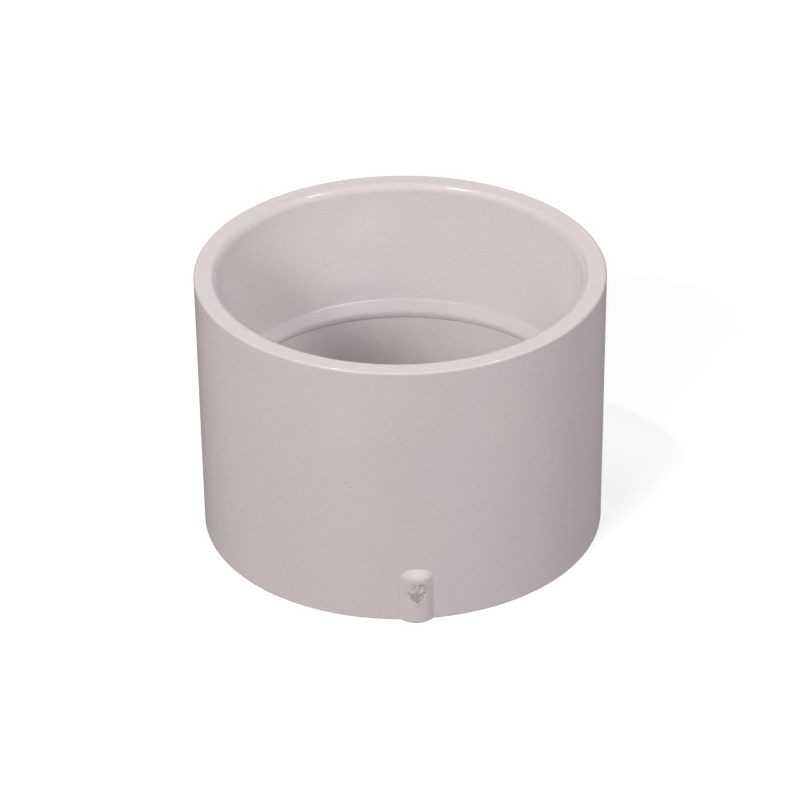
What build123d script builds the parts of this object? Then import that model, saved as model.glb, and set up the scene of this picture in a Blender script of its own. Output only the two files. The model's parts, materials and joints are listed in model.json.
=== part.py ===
"""Solvent-weld pipe cap for nominal 1-1/2 inch plastic drain pipe.

Frame: millimetres, +Z up through the open mouth, origin at the middle of the base.
The gate boss stands on the -Y side, so the cap mirrors across the YZ plane.
"""

import os
from math import acos, degrees, radians, sin

from build123d import *

# The pipe that glues into the mouth
pipe_diameter = 48.26
pipe_clearance = 0.14

# Cap body: a drafted tube with a pipe socket above the stop ring and a hub below it
mouth_diameter = 55.6
base_diameter = 55.1
body_height = 38.1
socket_depth = 17.9
entrance_diameter = 49.4
entrance_depth = 8.0

# Stop ring: a narrow shelf, a sloping face and a rounded underside
ring_height = 3.05
shelf_width = 0.35
face_slope = 0.55
under_radius = 1.6

# Seat for the plug at the bottom of the hub
seat_height = 8.6
seat_step = 0.85

# Edge finishes of the body
rim_radius = 0.3
mouth_radius = 1.1
root_radius = 0.1
base_radius = 0.2

# Gate boss and the round scar where the sprue broke away
boss_radius = 2.5
boss_projection = 1.05
boss_height = 7.95
crown_rise = 1.5
crown_reach = 1.7
boss_blend = 0.4
scar_height = 4.7
scar_radius = 1.35
scar_depth = 0.4
stub_radius = 0.75
stub_depth = 0.2

# End plug: a shallow cup pushed up from below until it meets the seat's shoulder
plug_wall = 2.8
floor_thickness = 3.4
floor_fillet = 2.0
plug_draft = 0.15
lip_chamfer = 0.4

# Cured cement: a film around the plug and a bead in the groove at the base
film_thickness = 0.15
groove_leg = 0.9
bead_setback = 0.2
bead_hollow = 0.15

# Radii and heights worked out from the driving dimensions
mouth_outer = mouth_diameter / 2
base_outer = base_diameter / 2
entrance = entrance_diameter / 2
socket_wall = (pipe_diameter + pipe_clearance) / 2
ring_top = body_height - socket_depth
ring_bottom = ring_top - ring_height
ring_edge = socket_wall - shelf_width
ring_face = ring_edge - face_slope
under_centre = ring_face + under_radius
under_turn = degrees(acos((under_centre - socket_wall) / under_radius))
under_top = ring_bottom + under_radius * sin(radians(under_turn))
seat_wall = socket_wall + seat_step
plug_outer = seat_wall - film_thickness
plug_inner = plug_outer - plug_wall
boss_offset = base_outer + boss_projection - boss_radius

os.makedirs("parts", exist_ok=True)


with BuildPart() as cap_body:
    # Drafted outside, narrower at the base than at the mouth
    with BuildSketch(Plane.XZ) as blank_profile:
        with BuildLine():
            Polyline(
                (0, 0),
                (base_outer, 0),
                (mouth_outer, body_height),
                (0, body_height),
                close=True,
            )
        make_face()
        fillet(blank_profile.vertices().sort_by(Axis.X)[-1], radius=rim_radius)
    revolve(axis=Axis.Z)

    # Gate boss with a rounded crown, from the base up, blended into the wall
    with BuildSketch(Plane.XZ.offset(boss_offset)):
        with BuildLine():
            Polyline(
                (0, boss_height),
                (0, 0),
                (boss_radius, 0),
                (boss_radius, boss_height - crown_rise),
            )
            EllipticalCenterArc(
                center=(boss_radius - crown_reach, boss_height - crown_rise),
                x_radius=crown_reach,
                y_radius=crown_rise,
                start_angle=0,
                arc_size=90,
            )
            Line((boss_radius - crown_reach, boss_height), (0, boss_height))
        make_face()
    revolve(axis=Axis((0, -boss_offset, 0), (0, 0, 1)))
    boss_joint = cap_body.edges().filter_by(GeomType.BSPLINE)
    fillet(boss_joint, radius=boss_blend)
    base_edges = cap_body.faces().sort_by(Axis.Z)[0].edges()
    fillet(base_edges, radius=base_radius)

    # Broken sprue: a shallow round pit with a stub left standing in it
    with BuildSketch(Plane.XZ.offset(boss_offset + boss_radius)):
        with Locations((0, scar_height)):
            Circle(scar_radius)
            Circle(stub_radius, mode=Mode.SUBTRACT)
    extrude(amount=-scar_depth, mode=Mode.SUBTRACT)
    with BuildSketch(Plane.XZ.offset(boss_offset + boss_radius)):
        with Locations((0, scar_height)):
            Circle(stub_radius)
    extrude(amount=-stub_depth, mode=Mode.SUBTRACT)

    # Core: pipe socket above the stop ring, hub, plug seat and cement groove below it
    with BuildSketch(Plane.XZ):
        with BuildLine():
            Polyline(
                (socket_wall, ring_bottom),
                (socket_wall, seat_height),
                (seat_wall, seat_height),
                (seat_wall, groove_leg),
                (seat_wall + groove_leg, 0),
                (0, 0),
                (0, body_height),
                (entrance, body_height),
                (socket_wall, body_height - entrance_depth),
                (socket_wall, ring_top),
                (ring_edge, ring_top),
                (ring_face, under_top),
            )
            CenterArc((under_centre, under_top), under_radius, start_angle=180, arc_size=under_turn)
        make_face()
    revolve(axis=Axis.Z, mode=Mode.SUBTRACT)
    circles = cap_body.edges().filter_by(GeomType.CIRCLE)
    mouth_edge = circles.filter_by(lambda edge: abs(edge.radius - entrance) < root_radius).sort_by(Axis.Z)[-1]
    wall_edges = circles.filter_by(lambda edge: abs(edge.radius - socket_wall) < root_radius)
    root_edge = wall_edges.sort_by(lambda edge: abs(edge.center().Z - ring_top))[0]
    fillet(mouth_edge, radius=mouth_radius)
    fillet(root_edge, radius=root_radius)

cap_body.part.label = "cap_body"
export_step(cap_body.part, "parts/cap_body.step")


with BuildPart() as end_plug:
    # Shallow cup: its rim rests against the shoulder of the seat
    with BuildSketch(Plane.XZ):
        with BuildLine():
            Polyline(
                (0, 0),
                (plug_outer - groove_leg, 0),
                (plug_outer, groove_leg),
                (plug_outer, seat_height),
                (plug_inner, seat_height),
                (plug_inner - plug_draft, floor_thickness),
                (0, floor_thickness),
                close=True,
            )
        make_face()
    revolve(axis=Axis.Z)
    lip_edge = end_plug.edges().group_by(Axis.Z)[-1].sort_by(SortBy.RADIUS)[0]
    chamfer(lip_edge, length=lip_chamfer)
    floor_edge = end_plug.faces().filter_by(Plane.XY).sort_by(Axis.Z)[1].edges()
    fillet(floor_edge, radius=floor_fillet)

end_plug.part.label = "end_plug"
export_step(end_plug.part, "parts/end_plug.step")


with BuildPart() as cement_bond:
    # Film between the walls, opening into a hollow-faced bead below
    bead_outer = seat_wall + groove_leg - bead_setback
    bead_inner = plug_outer - groove_leg + bead_setback
    with BuildSketch(Plane.XZ):
        with BuildLine():
            Polyline(
                (bead_inner, bead_setback),
                (plug_outer, groove_leg),
                (plug_outer, seat_height),
                (seat_wall, seat_height),
                (seat_wall, groove_leg),
                (bead_outer, bead_setback),
            )
            ThreePointArc(
                (bead_outer, bead_setback),
                ((bead_outer + bead_inner) / 2, bead_setback + bead_hollow),
                (bead_inner, bead_setback),
            )
        make_face()
    revolve(axis=Axis.Z)

cement_bond.part.label = "cement_bond"
export_step(cement_bond.part, "parts/cement_bond.step")
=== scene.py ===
import json
import math

import bpy
import numpy as np
from mathutils import Matrix, Vector, noise


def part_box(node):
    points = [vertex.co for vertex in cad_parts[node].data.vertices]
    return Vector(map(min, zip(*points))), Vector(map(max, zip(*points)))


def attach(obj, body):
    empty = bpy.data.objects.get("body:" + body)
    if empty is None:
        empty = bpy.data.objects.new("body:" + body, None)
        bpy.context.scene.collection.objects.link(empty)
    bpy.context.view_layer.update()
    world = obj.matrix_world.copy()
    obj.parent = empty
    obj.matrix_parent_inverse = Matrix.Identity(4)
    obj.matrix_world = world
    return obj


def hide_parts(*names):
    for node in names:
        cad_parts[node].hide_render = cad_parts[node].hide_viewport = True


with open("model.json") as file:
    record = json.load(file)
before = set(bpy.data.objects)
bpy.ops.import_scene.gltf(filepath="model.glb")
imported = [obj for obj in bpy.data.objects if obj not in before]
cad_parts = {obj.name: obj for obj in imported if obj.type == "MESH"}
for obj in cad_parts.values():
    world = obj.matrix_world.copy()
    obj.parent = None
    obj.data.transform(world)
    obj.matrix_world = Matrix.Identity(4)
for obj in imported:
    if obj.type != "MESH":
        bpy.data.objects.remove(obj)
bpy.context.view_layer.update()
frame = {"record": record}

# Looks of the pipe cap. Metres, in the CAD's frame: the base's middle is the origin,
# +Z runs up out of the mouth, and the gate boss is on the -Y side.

MM = 0.001

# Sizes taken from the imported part
mounts = {mount["name"]: mount for mount in frame["record"]["mounts"]}
body_low, body_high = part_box("cap_body")
plug_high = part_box("end_plug")[1]
bead_low, bead_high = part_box("cement_bond")
height = body_high.z
mouth_outer = body_high.x
boss_front = -body_low.y
socket_wall = mounts["pipe_socket"]["dims"]["r_mm"] * MM
ring_top = mounts["pipe_stop"]["pos_m"][2]
plug_outer = plug_high.x

# Sizes of the cap's finer features
base_outer = 27.55 * MM
rim_radius = 0.3 * MM
mouth_radius = 1.1 * MM
root_radius = 0.1 * MM
base_radius = 0.2 * MM
hub_margin = 0.08 * MM
shelf_round = 0.16 * MM
entrance_wall = 24.63 * MM
entrance_depth = 8.0 * MM
shelf_width = 0.35 * MM
face_slope = 0.55 * MM
ring_height = 3.05 * MM
under_radius = 1.6 * MM
seat_top = bead_high.z
seat_wall = 25.05 * MM
groove_leg = 0.9 * MM
plug_inner = 22.1 * MM
plug_draft = 0.15 * MM
lip_chamfer = 0.4 * MM
floor_top = 3.4 * MM
floor_fillet = 2.0 * MM
boss_radius = 2.5 * MM
boss_height = 7.95 * MM
crown_rise = 1.5 * MM
crown_reach = 1.7 * MM
boss_blend = 0.45 * MM
scar_centre = (0.0 * MM, 4.7 * MM)
scar_radius = 1.38 * MM
scar_zone = 2.2 * scar_radius
bead_hollow = 0.15 * MM
bead_swell = 0.12 * MM
dust_fade = 7.0 * MM

ring_edge = socket_wall - shelf_width
ring_face = ring_edge - face_slope
ring_bottom = ring_top - ring_height

# Mesh columns round the axis. The boss has its own, closer ones.
boss_half_turn = math.radians(6.9)
boss_shape_turn = math.radians(8)
boss_columns = 115
wall_columns = 315
plug_columns = 300
bead_columns = 480

# Distances that keep the rows of mesh near an edge close together
crown_margin = 0.45 * MM
foot_gap = 0.04 * MM
edge_gap = 0.1 * MM
throat_gap = 0.5 * MM


def wall_radius(z):
    """Radius of the drafted outside wall at height z."""
    return base_outer + (mouth_outer - base_outer) * z / height


def arc(centre, radius, start, end, steps):
    """Points on a profile arc, angles in degrees from +R towards +Z."""
    angles = np.radians(np.linspace(start, end, steps + 1))
    return [(centre[0] + radius * math.cos(a), centre[1] + radius * math.sin(a))
            for a in angles]


def run(start, end, steps):
    """Points along a straight profile run, both ends left out."""
    shares = [i / steps for i in range(1, steps)]
    return [(start[0] + (end[0] - start[0]) * s, start[1] + (end[1] - start[1]) * s)
            for s in shares]


def lathe(name, profile, angles, closed, shape=None):
    """Turns a profile of (radius, height) points about Z into one mesh object.
    shape(radius, height, angle, row) may move a point; angles are measured from -Y."""
    rows, columns = len(profile), len(angles)
    points = []
    for row, (radius, z) in enumerate(profile):
        for angle in angles:
            r, h = shape(radius, z, angle, row) if shape else (radius, z)
            points.append((r * math.sin(angle), -r * math.cos(angle), h))
    faces = []
    last = rows if closed else rows - 1
    for row in range(last):
        above = (row + 1) % rows
        for column in range(columns):
            beside = (column + 1) % columns
            faces.append((row * columns + column, row * columns + beside,
                          above * columns + beside, above * columns + column))
    if not closed:
        for row, turn in ((0, -1), (rows - 1, 1)):
            middle = len(points)
            points.append((0, 0, profile[row][1]))
            for column in range(columns):
                a, b = row * columns + column, row * columns + (column + 1) % columns
                faces.append((middle, a, b)[::turn])
    mesh = bpy.data.meshes.new(name)
    mesh.from_pydata(points, [], faces)
    mesh.update()
    mesh.shade_smooth()
    piece = bpy.data.objects.new(name, mesh)
    bpy.context.collection.objects.link(piece)
    return piece


# Cap body

def boss_reach(angle, z):
    """How far the gate boss reaches from the axis, or 0 where a ray misses it."""
    rise = max(0.0, z - (boss_height - crown_rise)) / crown_rise
    if rise >= 1:
        return 0.0
    radius = boss_radius - crown_reach * (1 - math.sqrt(1 - rise * rise))
    offset = boss_front - boss_radius
    across = radius ** 2 - (offset * math.sin(angle)) ** 2
    return offset * math.cos(angle) + math.sqrt(across) if across > 0 else 0.0


def blended_max(a, b, width):
    """The larger of two lengths, rounded where they cross."""
    near = max(width - abs(a - b), 0.0) / width
    return max(a, b) + near * near * width / 4


def scar_at(x, z):
    """The broken sprue at a point of the boss's front: (relief, torn, stain and painted shade).
    A shield-shaped island of torn plastic stands in a shallow uneven moat."""
    u, v = (x - scar_centre[0]) / MM, (z - scar_centre[1]) / MM
    turn, spread = math.atan2(v, u), math.hypot(u, v) * MM
    if spread > scar_zone:
        return 0.0, 0.0, 0.0
    around = (1.9 * math.cos(turn), 1.9 * math.sin(turn), 4.7)
    shield = 1 + 0.10 * math.cos(3 * (turn + math.pi / 2)) - 0.03 * math.sin(turn)
    edge = spread / (scar_radius * shield * (1 + 0.20 * noise.noise(around)))
    inside = 1 / (1 + math.exp((edge - 1) * 16))
    finer = [2 * place for place in around]
    uneven = 0.55 + 0.40 * math.cos(2 * (turn - 0.5)) + 0.6 * noise.noise(finer)
    moat = math.exp(-((edge - 0.88) / 0.15) ** 2) * max(uneven, 0.15)
    lumps = noise.fractal((1.5 * u, 1.5 * v, 2.5), 0.6, 2.1, 4)
    witness = math.exp(-((edge - 1.38) / 0.12) ** 2) * (0.6 - 0.4 * math.sin(turn))
    relief = -0.11 * moat + inside * (-0.06 + 0.20 * min(lumps, 0.3)) - 0.03 * witness
    low = 1 / (1 + math.exp((v - 0.1) * 3.5))
    scorch = inside * low * max(0.0, 1 - abs(u + 0.1 + 0.5 * lumps) * 1.4)
    # Third value: a real brown scorch stain low on the island, plus painted shade darkening the
    # moat, and a faint darkening of the witness ring.
    scorch_and_shade = scorch + 0.45 * moat + 0.06 * witness
    return min(relief, 0.0) * MM, inside, min(scorch_and_shade, 1.0)


groove_edge = seat_wall + groove_leg
boss_zone = boss_height + boss_blend
crown_zone = boss_height - crown_margin
wall_top = height - rim_radius

body_profile = [(groove_edge, 0)]
body_profile += run((groove_edge, 0), (base_outer - base_radius, 0), 5)
bottom_rows = len(body_profile)
body_profile += arc((base_outer - base_radius, base_radius), base_radius, -90, 0, 7)
wall_heights = list(np.linspace(base_radius + foot_gap, crown_zone, 102)[:-1])
wall_heights += list(np.linspace(crown_zone, boss_zone, 31)[:-1])
wall_heights += list(np.linspace(boss_zone, wall_top - edge_gap, 16))
body_profile += [(wall_radius(z), z) for z in wall_heights]
outside_rows = len(body_profile)
body_profile += arc((wall_radius(wall_top) - rim_radius, wall_top), rim_radius, 0, 90, 9)
mouth_middle = (entrance_wall + mouth_radius, height - mouth_radius)
body_profile += run((mouth_outer - rim_radius, height), (mouth_middle[0], height), 6)
body_profile += arc(mouth_middle, mouth_radius, 90, 180, 18)
entrance_foot = height - entrance_depth
body_profile += run((entrance_wall, mouth_middle[1]), (socket_wall, entrance_foot), 8)
body_profile += run((socket_wall, entrance_foot + throat_gap),
                    (socket_wall, ring_top + 2 * root_radius), 12)
root_middle = (socket_wall - root_radius, ring_top + root_radius)
body_profile += arc(root_middle, root_radius, 0, -90, 5)
body_profile += arc((ring_edge + shelf_round, ring_top - shelf_round), shelf_round, 90, 165, 8)

under_middle = ring_face + under_radius
under_turn = math.acos((under_middle - socket_wall) / under_radius)
under_top = ring_bottom + under_radius * math.sin(under_turn)
under_end = 180 + math.degrees(under_turn)
body_profile += run((ring_edge, ring_top - shelf_round), (ring_face, under_top), 6)
body_profile += arc((under_middle, under_top), under_radius, 180, under_end, 12)
body_profile += run((socket_wall, ring_bottom), (socket_wall, ring_bottom - edge_gap), 2)
body_profile += run((socket_wall, ring_bottom), (socket_wall, seat_top), 30)
body_profile += [
    (socket_wall, seat_top),
    (seat_wall, seat_top),
    (seat_wall, groove_leg),
]


def body_shape(radius, z, angle, row):
    """Adds the gate boss and its scar to the outside rows."""
    turn = (angle + math.pi) % (2 * math.pi) - math.pi
    if row >= outside_rows or abs(turn) > boss_shape_turn or z > boss_zone:
        return radius, z
    wall = wall_radius(z)
    reach = blended_max(wall, boss_reach(turn, z), boss_blend)
    relief = scar_at(reach * math.sin(turn), z)[0]
    share = min(row / bottom_rows, 1.0)
    return radius + share * (reach + relief - wall), z


wall_end = 2 * math.pi - boss_half_turn
body_angles = list(np.linspace(-boss_half_turn, boss_half_turn, boss_columns + 1)[:-1])
body_angles += list(np.linspace(boss_half_turn, wall_end, wall_columns + 1)[:-1])

cap_body = lathe("cap_body_shell", body_profile, body_angles, True, body_shape)

marks = np.zeros((3, len(cap_body.data.vertices)), np.float32)
for vertex in cap_body.data.vertices:
    x, y, z = vertex.co
    if y < -base_outer and z < boss_zone:
        marks[:2, vertex.index] = scar_at(x, z)[1:]
    elif math.hypot(x, y) < socket_wall + hub_margin and z < ring_bottom:
        marks[2, vertex.index] = min(1.0, (ring_bottom - z) / dust_fade)
for name, values in zip(("torn", "scorch_and_shade", "dust"), marks):
    cap_body.data.attributes.new(name, "FLOAT", "POINT").data.foreach_set("value", values)

# End plug

plug_angles = list(np.linspace(0, 2 * math.pi, plug_columns, endpoint=False))
floor_wall = plug_inner - plug_draft
fillet_middle = (floor_wall - floor_fillet, floor_top + floor_fillet)

plug_centre = 2 * MM
plug_profile = [(plug_centre, 0)]
plug_profile += run((plug_centre, 0), (plug_outer - groove_leg, 0), 8)
plug_profile += [(plug_outer - groove_leg, 0), (plug_outer, groove_leg), (plug_outer, seat_top)]
plug_profile += run((plug_outer, seat_top), (plug_inner + lip_chamfer, seat_top), 6)
plug_profile += [(plug_inner + lip_chamfer, seat_top)]
plug_profile += run((plug_inner + lip_chamfer, seat_top), (plug_inner, seat_top - lip_chamfer), 3)
plug_profile += run((plug_inner, seat_top - lip_chamfer), (floor_wall, fillet_middle[1]), 6)
plug_profile += arc(fillet_middle, floor_fillet, 0, -90, 14)
plug_profile += run((fillet_middle[0], floor_top), (0, floor_top), 9)

end_plug = lathe("end_plug_cup", plug_profile, plug_angles, False)

# Cement bead

bead_outer = bead_high.x
bead_inner = plug_outer - (bead_outer - seat_wall)
bead_foot = bead_low.z
bead_across = np.linspace(-1, 1, 15)
bead_profile = [((bead_outer + bead_inner) / 2 + t * (bead_outer - bead_inner) / 2,
                 bead_foot + bead_hollow * (1 - t * t)) for t in bead_across]
bead_profile += [
    (seat_wall, groove_leg),
    (seat_wall, seat_top),
    (plug_outer, seat_top),
    (plug_outer, groove_leg),
]


def bead_shape(radius, z, angle, row):
    """Uneven squeeze-out: the bead's face sinks and swells round the seam."""
    if row >= len(bead_across):
        return radius, z
    swell = noise.fractal((9 * math.cos(angle), 9 * math.sin(angle), 0.3 * row), 0.8, 2.0, 4)
    return radius, max(bead_foot, z + bead_swell * swell * (1 - bead_across[row] ** 2))


bead_angles = list(np.linspace(0, 2 * math.pi, bead_columns, endpoint=False))
cement = lathe("cement_bead", bead_profile, bead_angles, True, bead_shape)


# Materials

class Nodes:
    """A short way to write a shader: each call adds one node and links its inputs."""

    def __init__(self, name):
        self.material = bpy.data.materials.new(name)
        self.material.use_nodes = True
        self.tree = self.material.node_tree
        self.shader = self.tree.nodes["Principled BSDF"]
        coordinates = self.tree.nodes.new("ShaderNodeTexCoord")
        self.place = coordinates.outputs["Object"]

    def link(self, value, socket):
        if isinstance(value, bpy.types.NodeSocket):
            self.tree.links.new(value, socket)
        else:
            socket.default_value = value

    def noise(self, scale, detail=2.0, roughness=0.5, place=None):
        node = self.tree.nodes.new("ShaderNodeTexNoise")
        self.link(place or self.place, node.inputs["Vector"])
        node.inputs["Scale"].default_value = scale
        node.inputs["Detail"].default_value = detail
        node.inputs["Roughness"].default_value = roughness
        return node.outputs["Fac"]

    def ramp(self, value, low, high, start=0.0, end=1.0):
        node = self.tree.nodes.new("ShaderNodeMapRange")
        for socket, item in zip(node.inputs, (value, low, high, start, end)):
            self.link(item, socket)
        return node.outputs["Result"]

    def math(self, operation, *values):
        node = self.tree.nodes.new("ShaderNodeMath")
        node.operation = operation
        for socket, item in zip(node.inputs, values):
            self.link(item, socket)
        return node.outputs["Value"]

    def mix(self, share, first, second):
        node = self.tree.nodes.new("ShaderNodeMix")
        node.data_type = "RGBA"
        sockets = [s for s in node.inputs if s.enabled]
        for socket, item in zip(sockets, (share, first, second)):
            self.link(item, socket)
        return [s for s in node.outputs if s.enabled][0]

    def cells(self, scale):
        node = self.tree.nodes.new("ShaderNodeTexVoronoi")
        self.link(self.place, node.inputs["Vector"])
        node.inputs["Scale"].default_value = scale
        return node.outputs["Distance"]

    def attribute(self, name):
        node = self.tree.nodes.new("ShaderNodeAttribute")
        node.attribute_name = name
        return node.outputs["Fac"]

    def stretched(self, scale):
        node = self.tree.nodes.new("ShaderNodeMapping")
        self.link(self.place, node.inputs["Vector"])
        node.inputs["Scale"].default_value = scale
        return node.outputs["Vector"]

    def bump(self, value, distance, strength, under=None):
        node = self.tree.nodes.new("ShaderNodeBump")
        self.link(value, node.inputs["Height"])
        node.inputs["Distance"].default_value = distance
        node.inputs["Strength"].default_value = strength
        if under is not None:
            self.link(under, node.inputs["Normal"])
        return node.outputs["Normal"]


dirt_brown = (0.26, 0.21, 0.17, 1)


def moulded_pvc(name, pale, deep):
    """Satin moulded PVC: cloudy resin with a slight drift of hue, fine grain, faint smudges,
    a few scorched specks and a soft skin texture."""
    n = Nodes(name)
    clouds = n.ramp(n.noise(70, 3.0, 0.55), 0.35, 0.65)
    colour = n.mix(clouds, pale, deep)
    drift = n.ramp(n.noise(34, 2.0, 0.5), 0.38, 0.62)
    colour = n.mix(n.math("MULTIPLY", drift, 0.7), colour, (0.777, 0.772, 0.790, 1))
    grain = n.ramp(n.noise(1.0, 4.0, 0.72, n.stretched((1100, 1100, 2200))), 0.3, 0.7)
    colour = n.mix(n.math("MULTIPLY", grain, 0.14), colour, (0.50, 0.47, 0.47, 1))
    smudges = n.ramp(n.cells(230), 0.11, 0.02)
    colour = n.mix(n.math("MULTIPLY", smudges, 0.07), colour, (0.30, 0.25, 0.22, 1))
    specks = n.ramp(n.cells(400), 0.060, 0.030)
    colour = n.mix(n.math("MULTIPLY", specks, 0.26), colour, (0.16, 0.12, 0.10, 1))
    skin = n.noise(1300, 4.0, 0.6)
    flow = n.noise(1.0, 3.0, 0.5, n.stretched((120, 120, 520)))
    normal = n.bump(flow, 0.03 * MM, 0.30)
    normal = n.bump(skin, 0.010 * MM, 0.45, normal)
    n.link(n.ramp(n.noise(320, 4.0, 0.6), 0.3, 0.7, 0.12, 0.19), n.shader.inputs["Roughness"])
    n.link(normal, n.shader.inputs["Normal"])
    n.shader.inputs["IOR"].default_value = 1.53
    return n, colour


def body_material():
    n, colour = moulded_pvc("body_pvc", (0.780, 0.782, 0.775, 1), (0.760, 0.762, 0.755, 1))
    fibres = n.ramp(n.noise(1500, 4.0, 0.65), 0.35, 0.65)
    torn = n.mix(fibres, (0.60, 0.565, 0.55, 1), (0.76, 0.735, 0.72, 1))
    colour = n.mix(n.math("MULTIPLY", n.attribute("torn"), 0.8), colour, torn)
    # Scar browns: a real scorch stain, and the same browns laid in the moat as painted shade.
    scorch_and_shade_tone = n.mix(fibres, (0.33, 0.26, 0.20, 1), (0.50, 0.43, 0.33, 1))
    colour = n.mix(n.math("MULTIPLY", n.attribute("scorch_and_shade"), 0.6), colour, scorch_and_shade_tone)
    crumbs = n.ramp(n.noise(900, 3.0, 0.7), 0.64, 0.72)
    dirt = n.math("MULTIPLY", crumbs, n.attribute("dust"))
    colour = n.mix(n.math("MULTIPLY", dirt, 0.35), colour, dirt_brown)
    n.link(colour, n.shader.inputs["Base Color"])
    return n.material


def plug_material():
    n, colour = moulded_pvc("plug_pvc", (0.765, 0.762, 0.761, 1), (0.743, 0.740, 0.739, 1))
    crumbs = n.ramp(n.noise(900, 3.0, 0.7), 0.64, 0.70)
    colour = n.mix(n.math("MULTIPLY", crumbs, 0.4), colour, dirt_brown)
    n.link(colour, n.shader.inputs["Base Color"])
    return n.material


def cement_material():
    n = Nodes("cured_cement")
    milky = n.ramp(n.noise(420, 4.0, 0.6), 0.35, 0.65)
    colour = n.mix(milky, (0.70, 0.66, 0.55, 1), (0.78, 0.75, 0.68, 1))
    n.link(colour, n.shader.inputs["Base Color"])
    n.link(n.ramp(n.noise(700, 3.0, 0.6), 0.3, 0.7, 0.12, 0.3), n.shader.inputs["Roughness"])
    n.link(n.bump(n.noise(900, 3.0, 0.6), 0.04 * MM, 0.5), n.shader.inputs["Normal"])
    n.shader.inputs["IOR"].default_value = 1.5
    return n.material


pieces = (
    (cap_body, "cap_body", "body_pvc", body_material()),
    (end_plug, "end_plug", "plug_pvc", plug_material()),
    (cement, "cement_bond", "cured_cement", cement_material()),
)
for piece, node, slot, material in pieces:
    piece.data.materials.append(material)
    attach(piece, "root")
    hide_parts(node)

# Floor

floor_mesh = bpy.data.meshes.new("floor")
floor_half = 4.0
corners = [(x * floor_half, y * floor_half, 0) for x, y in ((-1, -1), (1, -1), (1, 1), (-1, 1))]
floor_mesh.from_pydata(corners, [], [(0, 1, 2, 3)])
floor = bpy.data.objects.new("floor", floor_mesh)
bpy.context.collection.objects.link(floor)
paper = Nodes("floor_paper")
fibres = paper.ramp(paper.noise(40, 4.0), 0.3, 0.7)
tone = paper.mix(fibres, (0.58, 0.64, 0.64, 1), (0.60, 0.66, 0.66, 1))
paper.link(tone, paper.shader.inputs["Base Color"])
paper.shader.inputs["Roughness"].default_value = 0.9
paper.shader.inputs["Emission Color"].default_value = (1, 1, 1, 1)
paper.shader.inputs["Emission Strength"].default_value = 0.60
floor_mesh.materials.append(paper.material)
floor.visible_diffuse = False
floor.visible_glossy = False
floor.visible_shadow = False

# Light

light_distance = 0.7


def bearing(azimuth, elevation):
    """The unit vector from the cap towards an azimuth and elevation in degrees.
    Azimuth 0 stands on the -Y side, 90 on the +X side."""
    a, e = math.radians(azimuth), math.radians(elevation)
    return Vector((math.sin(a) * math.cos(e), -math.cos(a) * math.cos(e), math.sin(e)))


def softbox(name, azimuth, elevation, size, power, tint, mirrored=False):
    """A square soft light aimed at the cap. Only a mirrored one shows as a highlight;
    the others spread like light off studio walls."""
    data = bpy.data.lights.new(name, "AREA")
    data.shape = "SQUARE"
    data.size = size
    data.energy = power
    data.color = tint
    light = bpy.data.objects.new(name, data)
    aim = Vector((0, 0, height / 2))
    light.location = aim + light_distance * bearing(azimuth, elevation)
    light.rotation_euler = (light.location - aim).to_track_quat("Z", "Y").to_euler()
    light.visible_glossy = mirrored
    bpy.context.collection.objects.link(light)


warm, mild, cool = (1.0, 0.890, 0.860), (1.0, 0.893, 0.905), (1.0, 0.893, 0.912)
softbox("lamp_left", -75, 70, 0.030, 0.76, warm, mirrored=True)
softbox("lamp_right", 95, 66, 0.025, 0.45, cool, mirrored=True)
softbox("key", -38, 36, 0.16, 1.73, warm)
softbox("key_low", -28, 26, 0.16, 1.46, mild)
softbox("front_right", 50, 31, 0.20, 0.86, cool)
softbox("side_right", 82, 38, 0.16, 1.35, cool)
softbox("back_left", -135, 35, 0.40, 1.31, warm)
softbox("back_panel", 180, 22, 0.30, 0.15, (0.99, 0.98, 0.96), mirrored=True)

world = bpy.data.worlds.new("studio")
world.use_nodes = True
sky = world.node_tree
heading = sky.nodes.new("ShaderNodeTexCoord")
split = sky.nodes.new("ShaderNodeSeparateXYZ")
level = sky.nodes.new("ShaderNodeMapRange")
sky.links.new(heading.outputs["Generated"], split.inputs["Vector"])
sky.links.new(split.outputs["Z"], level.inputs["Value"])
horizon = 0.02
levels = {"From Min": -horizon, "From Max": horizon, "To Min": 0.25, "To Max": 0.0}
for socket, item in levels.items():
    level.inputs[socket].default_value = item
sky.links.new(level.outputs["Result"], sky.nodes["Background"].inputs["Strength"])
sky.nodes["Background"].inputs["Color"].default_value = (1.0, 0.905, 0.90, 1)
bpy.context.scene.world = world
bpy.context.scene.view_settings.view_transform = "Standard"

# Camera

view_azimuth = -3.65
view_elevation = 30.457
view_distance = 533 * MM
view_roll = math.radians(-0.669)
aim_drop = 1.30 * MM
aim_left = 0.2205 * MM
camera_data = bpy.data.cameras.new("camera")
camera_data.sensor_width = 36
camera_data.lens = 175.1
camera_data.clip_end = 20
camera = bpy.data.objects.new("camera", camera_data)
bpy.context.collection.objects.link(camera)
across = bearing(view_azimuth + 90, 0)
away = bearing(view_azimuth, view_elevation)
camera.location = Vector((0, 0, height / 2)) + view_distance * away
aim = Vector((0, 0, height / 2 - aim_drop)) - aim_left * across
look = (camera.location - aim).to_track_quat("Z", "Y").to_matrix().to_4x4()
roll = Matrix.Rotation(view_roll, 4, "Z")
camera.matrix_world = Matrix.Translation(camera.location) @ look @ roll
bpy.context.scene.camera = camera
